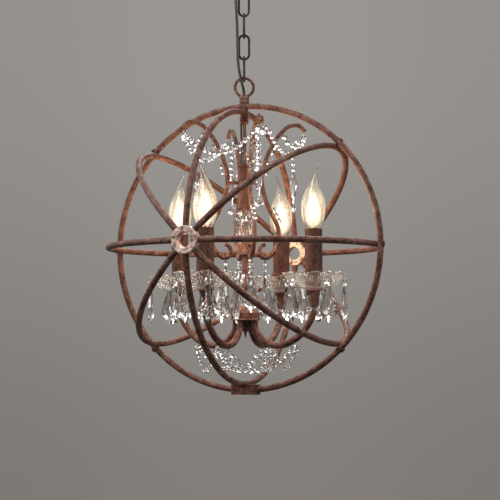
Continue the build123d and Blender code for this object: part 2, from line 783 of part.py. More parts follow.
# Garlands
bead = crystal(round_outline(bead_size, 8, 1.0, pi / 8), (0, 0), bead_size * 0.62, 0.6)
ring_bead = crystal(round_outline(ring_bead_size, 6, 1.0, pi / 6), (0, 0), ring_bead_size * 0.8, 0.6)
rosette = crystal(round_outline(rosette_diameter, 16, 0.84), (0, 0), rosette_diameter * 0.42, 0.5)
small_form = round_outline(small_rosette_diameter, 12, 0.95)
small_rosette = crystal(small_form, (0, 0), small_rosette_diameter * 0.45, 0.5)


def spear_crystal(length, width):
    """A slim drop with its shoulder near the top, which is at level 0."""
    half = [(0.25, 0.0), (1.0, 0.16), (0.92, 0.4), (0.45, 0.8)]
    right = [(x * width / 2, -z * length) for x, z in half]
    outline = right + [(0, -length)] + [(-x, z) for x, z in reversed(right)]
    return crystal(outline, (0, -0.35 * length), width * 0.8, 0.55)


spear = spear_crystal(spear_length, spear_width)
skirt_drop = spear_crystal(skirt_length, skirt_width)
bead_step = bead_size * cos(pi / 8) + crystal_gap


def hang_at(point, facing):
    """A place at a point whose Y axis, a crystal's thickness, points along a level direction."""
    return Location(Plane(origin=point, x_dir=facing.cross(Vector(0, 0, 1)), z_dir=Vector(0, 0, 1)))


def strand(start, end, sag, facing, name):
    """Beads at an even pitch along a hanging curve between two points; returns the lowest bead's middle."""
    steps = 200
    curve = []
    for i in range(steps + 1):
        share = i / steps
        curve.append(start + (end - start) * share - Vector(0, 0, 4 * sag * share * (1 - share)))
    along = [0.0]
    for a, b in zip(curve, curve[1:]):
        along.append(along[-1] + (b - a).length)
    count = int(along[-1] / bead_step)
    middles = []
    for k in range(count):
        target = (k + 0.5) / count * along[-1]
        i = max(n for n in range(steps) if along[n] <= target)
        share = (target - along[i]) / (along[i + 1] - along[i])
        point = curve[i] + (curve[i + 1] - curve[i]) * share
        tangent = (curve[i + 1] - curve[i]).normalized()
        place = Location(Plane(origin=point, x_dir=facing.cross(tangent), z_dir=tangent))
        keep(name, place * bead, at=orb)
        middles.append(point)
    return min(middles, key=lambda point: point.Z)


def under_run(route, first, clear):
    """A (radius, level) point clear of the lower side of a route's straight run, at its middle."""
    (r1, z1), (r2, z2) = route[first], route[first + 1]
    length = hypot(r2 - r1, z2 - z1)
    side = -1 if r2 > r1 else 1
    down = (-side * (z2 - z1) / length, side * (r2 - r1) / length)
    return (r1 + r2) / 2 + down[0] * clear, (z1 + z2) / 2 + down[1] * clear


def beads_along(route, first, clear, angle, name):
    """Beads wired along the outer side of a route's straight run, close to its middle."""
    (r1, z1), (r2, z2) = route[first], route[first + 1]
    length = hypot(r2 - r1, z2 - z1)
    along = ((r2 - r1) / length, (z2 - z1) / length)
    out = (-along[1], along[0])
    count = int(0.7 * length / bead_step)
    tangent = polar(along[0], angle, along[1])
    facing = polar(out[0], angle, out[1])
    for k in range(count):
        shift = (k - (count - 1) / 2) * bead_step
        r = (r1 + r2) / 2 + along[0] * shift + out[0] * clear
        z = (z1 + z2) / 2 + along[1] * shift + out[1] * clear
        place = Location(Plane(origin=polar(r, angle, z), x_dir=facing.cross(tangent), z_dir=tangent))
        keep(name, place * bead, at=orb)


def drop_string(top, facing, beads, foot, foot_reach, name):
    """Beads hanging plumb from a point, with a larger crystal at the foot; returns the lowest point."""
    for k in range(beads):
        keep(name, hang_at(top - Vector(0, 0, (k + 0.5) * bead_step), facing) * bead, at=orb)
    foot_top = top - Vector(0, 0, beads * bead_step + crystal_gap / 2)
    keep(name, hang_at(foot_top, facing) * foot, at=orb)
    return foot_top - Vector(0, 0, foot_reach + crystal_gap)


scroll_r = scroll_rod / 2
(tip_r, tip_z), (turn_r, turn_z) = scroll_route[0], scroll_route[1]
tip_run = hypot(turn_r - tip_r, turn_z - tip_z)
rosette_r = tip_r - scroll_r * (turn_z - tip_z) / tip_run
rosette_z = tip_z - scroll_r * (tip_r - turn_r) / tip_run - crystal_gap - rosette_diameter / 2
swag_start_r = rosette_r - rosette_diameter * 0.21 - bead_size * 0.36
swag_end_r, swag_end_z = under_run(scroll_route, 2, scroll_r + crystal_gap)
swag_drop = 13.0
tip_spread = rosette_diameter / 2 + crystal_gap
tip_sag = 30.0
neck_runs = (3, 4, 6)
curl_r, curl_z = under_run(scroll_route, 9, scroll_r + seat_gap)
for a in scroll_angles:
    outward = polar(1, a, 0)
    across = polar(1, a + 90, 0)
    keep("garlands", hang_at(polar(rosette_r, a, rosette_z), outward) * rosette, at=orb)
    swag_start = polar(swag_start_r, a, rosette_z)
    swag_end = polar(swag_end_r, a, swag_end_z)
    swag_low = strand(swag_start, swag_end, swag_drop, across, "garlands")
    string_top = swag_low - Vector(0, 0, bead_step / 2 + crystal_gap)
    spear_foot = drop_string(string_top, outward, 4, spear, spear_length, "garlands")
    foot_rosette = spear_foot - Vector(0, 0, small_rosette_diameter / 2)
    keep("garlands", hang_at(foot_rosette, outward) * small_rosette, at=orb)
    drop_string(polar(curl_r, a, curl_z), outward, 3, pendalogue, pendalogue_length, "garlands")
    next_a = a + 360 / candle_count
    tip_start = polar(rosette_r, a, rosette_z) + across * tip_spread
    tip_end = polar(rosette_r, next_a, rosette_z) - polar(1, next_a + 90, 0) * tip_spread
    strand(tip_start, tip_end, tip_sag, polar(1, a + 180 / candle_count, 0), "garlands")
    for first in neck_runs:
        beads_along(scroll_route, first, scroll_r + bead_size * 0.31 + seat_gap, a, "garlands")

skirt_radius = collar_r * 0.94
for k in range(skirt_count):
    turn = 360 / skirt_count * k
    skirt_hook = polar(skirt_radius, turn, collar_low + bead_step / 2 - 1)
    drop_string(skirt_hook, polar(1, turn, 0), 1, skirt_drop, skirt_length, "garlands")

rosette_clear = arm_r + crystal_gap + small_rosette_diameter / 2
inner_hook = under_run(arm_route, 2, rosette_clear)
outer_hook = under_run(arm_route, 3, rosette_clear)
swag_hooks = [(*inner_hook, 26.0), (*outer_hook, 30.0)]
hook_spread = small_rosette_diameter * 0.225 + bead_size * 0.13
for i, a in enumerate(candle_angles):
    across = polar(1, a + 90, 0)
    next_a = candle_angles[(i + 1) % candle_count]
    next_across = polar(1, next_a + 90, 0)
    for hook_r, hook_z, sag in swag_hooks:
        keep("garlands", hang_at(polar(hook_r, a, hook_z), across) * small_rosette, at=orb)
        start = polar(hook_r, a, hook_z) + across * hook_spread
        end = polar(hook_r, next_a, hook_z) - next_across * hook_spread
        strand(start, end, sag, polar(1, a + 180 / candle_count, 0), "garlands")
    bead_ring_level = cup_bottom_level - ring_bead_size / 2 - 1
    bead_ring_radius = arm_r + ring_bead_size * 0.4 + crystal_gap
    ring_count = int(pi / atan2(ring_bead_size / 2 + seat_gap, bead_ring_radius))
    for k in range(ring_count):
        turn = 360 / ring_count * k
        facing = polar(1, a + turn, 0)
        centre = polar(candle_radius, a, bead_ring_level) + facing * bead_ring_radius
        keep("garlands", hang_at(centre, facing) * ring_bead, at=orb)

os.makedirs("parts", exist_ok=True)
for name, members in pieces.items():
    export_step(members[0] if len(members) == 1 else Compound(children=members), f"parts/{name}.step")
print(len(pieces), "nodes,", sum(len(m) for m in pieces.values()), "solids, orb at", round(orb_level, 2))
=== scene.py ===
"""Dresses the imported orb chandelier: rusted iron, crystal, lit lamps, cord, stage and camera.

Everything is in metres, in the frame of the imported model: the origin is the ceiling mount, +Z is up.
"""

import json
import logging
import math
from dataclasses import dataclass, field
from enum import Enum

import bpy
from mathutils import Matrix, Vector


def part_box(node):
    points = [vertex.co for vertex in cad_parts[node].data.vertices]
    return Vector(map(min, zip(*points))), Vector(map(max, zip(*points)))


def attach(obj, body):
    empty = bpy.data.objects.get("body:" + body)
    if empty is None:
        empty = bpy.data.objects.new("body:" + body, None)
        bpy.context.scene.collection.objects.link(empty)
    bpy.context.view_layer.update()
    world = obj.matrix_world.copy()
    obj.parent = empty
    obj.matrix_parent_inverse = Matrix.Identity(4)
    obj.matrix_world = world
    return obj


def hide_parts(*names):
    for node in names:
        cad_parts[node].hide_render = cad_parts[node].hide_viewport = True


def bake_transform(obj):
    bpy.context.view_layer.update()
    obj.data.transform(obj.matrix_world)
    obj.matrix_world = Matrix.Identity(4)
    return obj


log = logging.getLogger("orb_chandelier")
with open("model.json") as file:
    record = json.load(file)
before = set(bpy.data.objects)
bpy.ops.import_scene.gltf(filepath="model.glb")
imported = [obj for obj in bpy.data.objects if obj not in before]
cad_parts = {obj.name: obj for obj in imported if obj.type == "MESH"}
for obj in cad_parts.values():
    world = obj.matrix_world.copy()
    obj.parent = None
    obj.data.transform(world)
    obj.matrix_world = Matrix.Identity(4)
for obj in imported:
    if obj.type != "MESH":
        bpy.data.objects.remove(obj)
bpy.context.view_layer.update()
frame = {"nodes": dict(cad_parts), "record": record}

Colour = tuple[float, float, float]
Axis = tuple[float, float, float]
Limits = tuple[float, float]

BLACK: Colour = (0.0, 0.0, 0.0)


class Slot(Enum):
    """Material slots of the record that the pieces take their finish from."""

    IRON = "rust_iron"
    STEEL = "strap_steel"
    CORD = "black_cord"
    CRYSTAL = "crystal"
    LAMP = "lamp_glass"
    BRASS = "lamp_brass"
    PLASTIC = "holder_plastic"


@dataclass(frozen=True)
class RustFinish:
    """Brown rust: colours in linear light, sizes in metres."""

    name: str
    deep: Colour
    body: Colour
    bloom: Colour
    bloom_share: float
    grain: float
    bump: float
    specular: float = 0.22


@dataclass(frozen=True)
class RustPattern:
    """How the rust effect is laid: sizes in grains, limits in values of its noise."""

    patch_size: float = 9.0
    patch_detail: float = 3.0
    patch_weight: float = 0.5
    scale_size: float = 2.2
    scale_detail: float = 5.0
    scale_rough: float = 0.65
    scale_height: float = 0.6
    speck_detail: float = 4.0
    speck_rough: float = 0.7
    speck_height: float = 0.4
    pit_limits: Limits = (0.41, 0.6)
    bloom_limits: Limits = (0.7, 0.95)
    sheen_limits: Limits = (0.3, 0.7)
    roughness: Limits = (0.72, 0.4)


@dataclass(frozen=True)
class GrainPattern:
    """How the fine grain is laid: the broad marks' size is in grains, limits in values of its noise."""

    fine_detail: float = 3.0
    broad_size: float = 6.0
    broad_detail: float = 2.0
    share: float = 0.5
    mark_limits: Limits = (0.35, 0.65)


@dataclass(frozen=True)
class GlassFinish:
    """Clear glass with a faint tint and light marks on its surface."""

    name: str
    tint: Colour
    ior: float
    smooth: float
    marked: float
    ripple: float
    ripple_size: float
    clear: float


@dataclass(frozen=True)
class PlainFinish:
    """A one-material surface with fine grain."""

    name: str
    colour: Colour
    shade: Colour
    roughness: float
    metallic: float
    grain: float
    bump: float
    smoothest: float = 0.8
    roughest: float = 1.3


@dataclass(frozen=True)
class GlowFinish:
    """A surface that gives light, fainter towards its outline."""

    name: str
    colour: Colour
    strength: float
    alpha: float
    softness: float


RUST = RustFinish(
    "Rusted iron", (0.01, 0.0028, 0.0018), (0.105, 0.035, 0.022), (0.5, 0.29, 0.24), 0.4, 0.0014, 0.0009
)
RUST_PALE = RustFinish(
    "Rusted iron, worn pale", (0.04, 0.014, 0.01), (0.6, 0.42, 0.35), (0.8, 0.64, 0.58), 0.8, 0.0022, 0.0008
)
RUST_BROWN = RustFinish(
    "Rust-painted sleeves",
    (0.02, 0.006, 0.004),
    (0.082, 0.029, 0.018),
    (0.33, 0.18, 0.14),
    0.28,
    0.0014,
    0.0004,
)
RUST_DARK = RustFinish(
    "Dark chain iron",
    (0.008, 0.003, 0.0022),
    (0.042, 0.018, 0.013),
    (0.26, 0.16, 0.135),
    0.28,
    0.0015,
    0.0003,
)
CRYSTAL = GlassFinish("Cut crystal", (0.985, 0.985, 0.98), 1.7, 0.0, 0.008, 0.00003, 0.006, 1.0)
DISH = GlassFinish("Pressed glass dish", (0.965, 0.95, 0.915), 1.55, 0.0, 0.03, 0.0001, 0.004, 0.97)
CORD_SHEATH = PlainFinish(
    "Cord sheath", (0.012, 0.012, 0.012), (0.03, 0.03, 0.03), 0.5, 0.0, 0.0008, 0.00004
)
ZINC = PlainFinish("Zinc-plated steel", (0.5, 0.49, 0.47), (0.36, 0.35, 0.34), 0.35, 1.0, 0.0012, 0.00002)
BRASS = PlainFinish("Lamp-cap brass", (0.62, 0.45, 0.2), (0.4, 0.27, 0.1), 0.3, 1.0, 0.001, 0.00003)
PLASTIC = PlainFinish("Moulded holder", (0.55, 0.52, 0.45), (0.42, 0.4, 0.35), 0.5, 0.0, 0.001, 0.00003)
FILAMENT = GlowFinish("Filament", (1.0, 0.8, 0.5), 4.0, 1.0, 0.0)
CORE = GlowFinish("Lamp glow", (1.0, 0.9, 0.72), 1.5, 0.72, 1.7)


class NodeTree:
    """A short way to lay shader nodes and join them.

    The Mix node's colour sockets share their names with its other sockets, so they go by number.
    """

    MIX_SHARE = 0
    MIX_FIRST = 6
    MIX_SECOND = 7
    MIX_RESULT = 2

    def __init__(self, tree: bpy.types.NodeTree) -> None:
        self.tree = tree

    def add(self, kind: str, **inputs: object) -> bpy.types.Node:
        """Adds a node.

        Args:
            kind: The node's type name.
            **inputs: Values or sockets for its inputs, by name with underscores for spaces.

        Returns:
            The new node.
        """
        node = self.tree.nodes.new(kind)
        for key, value in inputs.items():
            self.put(node.inputs[key.replace("_", " ")], value)
        return node

    def put(self, socket: bpy.types.NodeSocket, value: object) -> None:
        """Sets a socket to a value, or links it to another socket.

        Args:
            socket: The input socket.
            value: A number, a colour or an output socket.
        """
        if isinstance(value, bpy.types.NodeSocket):
            self.tree.links.new(value, socket)
        elif isinstance(value, tuple) and len(value) == 3 and socket.type == "RGBA":
            socket.default_value = (*value, 1.0)
        else:
            socket.default_value = value

    def maths(self, operation: str, first: object, second: object = 0.0) -> bpy.types.NodeSocket:
        """Adds a maths node.

        Args:
            operation: Blender's name of the operation.
            first: The first value or socket.
            second: The second value or socket.

        Returns:
            The result's socket.
        """
        node = self.tree.nodes.new("ShaderNodeMath")
        node.operation = operation
        self.put(node.inputs[0], first)
        self.put(node.inputs[1], second)
        return node.outputs[0]

    def spread(
        self, value: object, low: float, high: float, to_low: float = 0.0, to_high: float = 1.0
    ) -> bpy.types.NodeSocket:
        """Maps a range smoothly to another.

        Args:
            value: The socket to map.
            low: Where the range starts.
            high: Where it ends.
            to_low: The result at the start.
            to_high: The result at the end.

        Returns:
            The mapped socket.
        """
        node = self.tree.nodes.new("ShaderNodeMapRange")
        node.interpolation_type = "SMOOTHSTEP"
        for socket, number in zip(node.inputs, (value, low, high, to_low, to_high)):
            self.put(socket, number)
        return node.outputs[0]

    def along(self, vector: bpy.types.NodeSocket, axis: Axis) -> bpy.types.NodeSocket:
        """Measures a vector along an axis.

        Args:
            vector: The vector's socket.
            axis: The axis, of length 1.

        Returns:
            The length's socket.
        """
        node = self.tree.nodes.new("ShaderNodeVectorMath")
        node.operation = "DOT_PRODUCT"
        self.put(node.inputs[0], vector)
        self.put(node.inputs[1], axis)
        return node.outputs["Value"]

    def mix(self, share: object, first: object, second: object) -> bpy.types.NodeSocket:
        """Mixes two colours.

        Args:
            share: How much of the second colour shows.
            first: The first colour or socket.
            second: The second colour or socket.

        Returns:
            The mixed colour's socket.
        """
        node = self.tree.nodes.new("ShaderNodeMix")
        node.data_type = "RGBA"
        self.put(node.inputs[self.MIX_SHARE], share)
        self.put(node.inputs[self.MIX_FIRST], first)
        self.put(node.inputs[self.MIX_SECOND], second)
        return node.outputs[self.MIX_RESULT]

    def noise(self, size: object, detail: float = 4.0, rough: float = 0.55) -> bpy.types.NodeSocket:
        """Adds noise over the object's own coordinates.

        Args:
            size: The size of its features in metres, or a socket with it.
            detail: How many finer layers it has.
            rough: How strong the finer layers are.

        Returns:
            The noise's value socket.
        """
        place = self.tree.nodes.new("ShaderNodeTexCoord").outputs["Object"]
        scale = self.maths("DIVIDE", 1.0, size)
        node = self.add("ShaderNodeTexNoise", Vector=place, Scale=scale, Detail=detail, Roughness=rough)
        return node.outputs[0]


def new_group(
    name: str, inputs: dict[str, str], outputs: dict[str, str]
) -> tuple[NodeTree, dict, dict]:
    """Makes a shader node group with named sockets.

    Args:
        name: The group's name.
        inputs: Socket kinds by input name.
        outputs: Socket kinds by output name.

    Returns:
        The group's tree, its input sockets and its output sockets by name.
    """
    tree = bpy.data.node_groups.new(name, "ShaderNodeTree")
    for label, kind in inputs.items():
        tree.interface.new_socket(label, in_out="INPUT", socket_type=f"NodeSocket{kind}")
    for label, kind in outputs.items():
        tree.interface.new_socket(label, in_out="OUTPUT", socket_type=f"NodeSocket{kind}")
    source = tree.nodes.new("NodeGroupInput")
    sink = tree.nodes.new("NodeGroupOutput")
    return NodeTree(tree), {s.name: s for s in source.outputs}, {s.name: s for s in sink.inputs}


def rust_group() -> bpy.types.NodeTree:
    """Builds the rust effect: deep pits, brown body, pale blooms and a grainy height.

    Returns:
        The node group.
    """
    lay = RustPattern()
    colours = {"Deep": "Color", "Body": "Color", "Bloom": "Color"}
    nodes, given, out = new_group(
        "Rust",
        {**colours, "Bloom Share": "Float", "Grain": "Float"},
        {"Color": "Color", "Roughness": "Float", "Height": "Float"},
    )
    patch = nodes.noise(nodes.maths("MULTIPLY", given["Grain"], lay.patch_size), lay.patch_detail)
    scale_size = nodes.maths("MULTIPLY", given["Grain"], lay.scale_size)
    scale = nodes.noise(scale_size, lay.scale_detail, lay.scale_rough)
    speck = nodes.noise(given["Grain"], lay.speck_detail, lay.speck_rough)
    ground = nodes.mix(nodes.spread(scale, *lay.pit_limits), given["Deep"], given["Body"])
    clumped = nodes.maths("ADD", speck, nodes.maths("MULTIPLY", patch, lay.patch_weight))
    raised = nodes.spread(clumped, *lay.bloom_limits)
    share = nodes.maths("MULTIPLY", raised, given["Bloom Share"])
    nodes.put(out["Color"], nodes.mix(share, ground, given["Bloom"]))
    nodes.put(out["Roughness"], nodes.spread(speck, *lay.sheen_limits, *lay.roughness))
    flakes = nodes.maths("MULTIPLY", scale, lay.scale_height)
    nodes.put(out["Height"], nodes.maths("ADD", flakes, nodes.maths("MULTIPLY", speck, lay.speck_height)))
    return nodes.tree


def grain_group() -> bpy.types.NodeTree:
    """Builds a fine grain for plain surfaces and glass: a mask of marks and a height.

    Returns:
        The node group.
    """
    lay = GrainPattern()
    nodes, given, out = new_group("Fine grain", {"Size": "Float"}, {"Marks": "Float", "Height": "Float"})
    fine = nodes.noise(given["Size"], lay.fine_detail)
    broad = nodes.noise(nodes.maths("MULTIPLY", given["Size"], lay.broad_size), lay.broad_detail)
    halves = [nodes.maths("MULTIPLY", layer, lay.share) for layer in (fine, broad)]
    nodes.put(out["Marks"], nodes.spread(nodes.maths("ADD", *halves), *lay.mark_limits))
    nodes.put(out["Height"], fine)
    return nodes.tree


@dataclass
class Paintbox:
    """Makes each finish once and hands it out."""

    rust: bpy.types.NodeTree = field(default_factory=rust_group)
    grain: bpy.types.NodeTree = field(default_factory=grain_group)
    made: dict = field(default_factory=dict)

    def fresh(self, name: str) -> tuple[bpy.types.Material, NodeTree, bpy.types.Node, bpy.types.Node]:
        """Starts a material.

        Args:
            name: The material's name.

        Returns:
            The material, its nodes, its Principled shader and its output node.
        """
        material = bpy.data.materials.new(name)
        material.use_nodes = True
        material.node_tree.nodes.clear()
        nodes = NodeTree(material.node_tree)
        output = nodes.add("ShaderNodeOutputMaterial")
        shader = nodes.add("ShaderNodeBsdfPrincipled")
        nodes.put(output.inputs["Surface"], shader.outputs[0])
        return material, nodes, shader, output

    def group(self, nodes: NodeTree, tree: bpy.types.NodeTree, values: dict) -> bpy.types.Node:
        """Places a shared effect in a material.

        Args:
            nodes: The material's nodes.
            tree: The effect's node group.
            values: Its input values by name.

        Returns:
            The group's node.
        """
        node = nodes.tree.nodes.new("ShaderNodeGroup")
        node.node_tree = tree
        for label, value in values.items():
            nodes.put(node.inputs[label], value)
        return node

    def bump(
        self, nodes: NodeTree, shader: bpy.types.Node, height: bpy.types.NodeSocket, depth: float
    ) -> None:
        """Raises a surface by a height.

        Args:
            nodes: The material's nodes.
            shader: The shader that takes the normal.
            height: The height's socket.
            depth: The depth in metres at height 1.
        """
        node = nodes.add("ShaderNodeBump", Strength=1.0, Distance=depth, Height=height)
        nodes.put(shader.inputs["Normal"], node.outputs[0])

    def light_shadow(
        self, nodes: NodeTree, shader: bpy.types.Node, output: bpy.types.Node, tint: Colour
    ) -> None:
        """Lets light through a glass, so that its shadows stay light.

        Args:
            nodes: The material's nodes.
            shader: The glass shader.
            output: The material's output node.
            tint: The colour of the light that comes through.
        """
        clear = nodes.add("ShaderNodeBsdfTransparent", Color=tint)
        shadow = nodes.add("ShaderNodeLightPath").outputs["Is Shadow Ray"]
        both = nodes.add("ShaderNodeMixShader")
        for socket, value in zip(both.inputs, (shadow, shader.outputs[0], clear.outputs[0])):
            nodes.put(socket, value)
        nodes.put(output.inputs["Surface"], both.outputs[0])

    def of(self, finish: object) -> bpy.types.Material:
        """Gives the material of a finish.

        Args:
            finish: One of the finishes above.

        Returns:
            The material.
        """
        if finish.name not in self.made:
            makers = {
                RustFinish: self.rusted,
                GlassFinish: self.glass,
                PlainFinish: self.plain,
                GlowFinish: self.glow,
            }
            self.made[finish.name] = makers[type(finish)](finish)
        return self.made[finish.name]

    def rusted(self, finish: RustFinish) -> bpy.types.Material:
        """Makes a rust material.

        Args:
            finish: Its colours and sizes.

        Returns:
            The material.
        """
        material, nodes, shader, _ = self.fresh(finish.name)
        values = {
            "Deep": finish.deep,
            "Body": finish.body,
            "Bloom": finish.bloom,
            "Bloom Share": finish.bloom_share,
            "Grain": finish.grain,
        }
        coat = self.group(nodes, self.rust, values)
        nodes.put(shader.inputs["Base Color"], coat.outputs["Color"])
        nodes.put(shader.inputs["Roughness"], coat.outputs["Roughness"])
        nodes.put(shader.inputs["Specular IOR Level"], finish.specular)
        self.bump(nodes, shader, coat.outputs["Height"], finish.bump)
        return material

    def glass(self, finish: GlassFinish) -> bpy.types.Material:
        """Makes a clear glass whose shadows stay light.

        Args:
            finish: Its tint and surface.

        Returns:
            The material.
        """
        material, nodes, shader, output = self.fresh(finish.name)
        marks = self.group(nodes, self.grain, {"Size": finish.ripple_size})
        nodes.put(shader.inputs["Base Color"], finish.tint)
        nodes.put(shader.inputs["IOR"], finish.ior)
        nodes.put(shader.inputs["Transmission Weight"], finish.clear)
        rough = nodes.spread(marks.outputs["Marks"], 0.0, 1.0, finish.smooth, finish.marked)
        nodes.put(shader.inputs["Roughness"], rough)
        self.bump(nodes, shader, marks.outputs["Height"], finish.ripple)
        self.light_shadow(nodes, shader, output, finish.tint)
        return material

    def plain(self, finish: PlainFinish) -> bpy.types.Material:
        """Makes a plain surface with fine grain.

        Args:
            finish: Its colours and surface.

        Returns:
            The material.
        """
        material, nodes, shader, _ = self.fresh(finish.name)
        marks = self.group(nodes, self.grain, {"Size": finish.grain})
        nodes.put(shader.inputs["Base Color"], nodes.mix(marks.outputs["Marks"], finish.colour, finish.shade))
        nodes.put(shader.inputs["Metallic"], finish.metallic)
        span = (finish.roughness * finish.smoothest, finish.roughness * finish.roughest)
        nodes.put(shader.inputs["Roughness"], nodes.spread(marks.outputs["Marks"], 0.0, 1.0, *span))
        self.bump(nodes, shader, marks.outputs["Height"], finish.bump)
        return material

    def glow(self, finish: GlowFinish) -> bpy.types.Material:
        """Makes a surface that gives light.

        Args:
            finish: Its colour and strength.

        Returns:
            The material.
        """
        material, nodes, shader, _ = self.fresh(finish.name)
        nodes.put(shader.inputs["Base Color"], BLACK)
        nodes.put(shader.inputs["Specular IOR Level"], 0.0)
        nodes.put(shader.inputs["Emission Color"], finish.colour)
        nodes.put(shader.inputs["Emission Strength"], finish.strength)
        facing = nodes.add("ShaderNodeLayerWeight", Blend=0.5).outputs["Facing"]
        solid = nodes.maths("POWER", nodes.maths("SUBTRACT", 1.0, facing), finish.softness)
        nodes.put(shader.inputs["Alpha"], nodes.maths("MULTIPLY", solid, finish.alpha))
        return material


def lone(obj: bpy.types.Object) -> bpy.types.Object:
    """Selects one object and nothing else.

    Args:
        obj: The object.

    Returns:
        The same object.
    """
    bpy.ops.object.select_all(action="DESELECT")
    obj.select_set(True)
    bpy.context.view_layer.objects.active = obj
    return obj


def dress(obj: bpy.types.Object, material: bpy.types.Material) -> None:
    """Gives an object one material.

    Args:
        obj: The object.
        material: Its material.
    """
    obj.data.materials.clear()
    obj.data.materials.append(material)


def settle(obj: bpy.types.Object) -> bpy.types.Object:
    """Moves an object's place into its mesh, so that it sits at the origin.

    Args:
        obj: The object.

    Returns:
        The same object.
    """
    lone(obj)
    bpy.ops.object.transform_apply(location=True, rotation=True, scale=True)
    return obj


def place_copy(pattern: bpy.types.Object, name: str, place: Matrix) -> bpy.types.Object:
    """Sets a copy of a pattern where a piece belongs.

    Args:
        pattern: The piece's pattern at the origin.
        name: The piece's name.
        place: Where it goes.

    Returns:
        The new piece, with its place in its mesh.
    """
    piece = pattern.copy()
    piece.data = pattern.data.copy()
    piece.name = name
    bpy.context.collection.objects.link(piece)
    piece.matrix_world = place
    return settle(piece)


@dataclass(frozen=True)
class Orb:
    """Where the orb and its candles are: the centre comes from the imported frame."""

    centre: Vector
    candle_radius: float = 0.114
    candle_turn: float = math.radians(-6.0)
    names: tuple[str, ...] = ("right", "rear", "left", "front")

    @classmethod
    def from_frame(cls) -> "Orb":
        """Reads the centre from the outer ring's box.

        Returns:
            The orb.
        """
        low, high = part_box("outer_ring")
        radius = (high[0] - low[0]) / 2
        return cls(Vector((0.0, 0.0, low[2] + radius)))

    def candle(self, index: int) -> Matrix:
        """Gives a candle's frame: its axis at the orb's level, X pointing outwards.

        Args:
            index: Which candle, in the order of the names.

        Returns:
            The frame's matrix.
        """
        turn = Matrix.Rotation(self.candle_turn + index * math.pi / 2, 4, "Z")
        return Matrix.Translation(self.centre) @ turn @ Matrix.Translation((self.candle_radius, 0.0, 0.0))


@dataclass
class IronWork:
    """The rusted pieces: they keep their CAD meshes and take their finishes."""

    paint: Paintbox
    special: tuple[tuple[str, RustFinish], ...] = (
        ("orb_hubs", RUST_PALE),
        ("candle_sleeves", RUST_BROWN),
        ("column_sleeve", RUST_BROWN),
        ("chain_link_1", RUST_DARK),
        ("chain_link_2", RUST_DARK),
        ("chain_link_3", RUST_DARK),
        ("chain_link_4", RUST_DARK),
    )

    def build(self) -> None:
        """Dresses every node of the iron slot."""
        finishes = dict(self.special)
        for entry in frame["record"]["subparts"]:
            if entry["material_slot"] == Slot.IRON.value:
                finish = finishes.get(entry["node"], RUST)
                dress(frame["nodes"][entry["node"]], self.paint.of(finish))


@dataclass
class SmallFittings:
    """Steel, brass, plastic and cord nodes that stay as the CAD has them."""

    paint: Paintbox

    def build(self) -> None:
        """Dresses every node of the plain slots."""
        finishes = {Slot.STEEL: ZINC, Slot.BRASS: BRASS, Slot.PLASTIC: PLASTIC, Slot.CORD: CORD_SHEATH}
        for entry in frame["record"]["subparts"]:
            slot = Slot(entry["material_slot"])
            if slot in finishes:
                dress(frame["nodes"][entry["node"]], self.paint.of(finishes[slot]))


@dataclass
class Crystals:
    """The cut crystals and the glass of the column."""

    paint: Paintbox

    def build(self) -> None:
        """Dresses every node of the crystal slot."""
        for entry in frame["record"]["subparts"]:
            if entry["material_slot"] == Slot.CRYSTAL.value:
                dress(frame["nodes"][entry["node"]], self.paint.of(CRYSTAL))


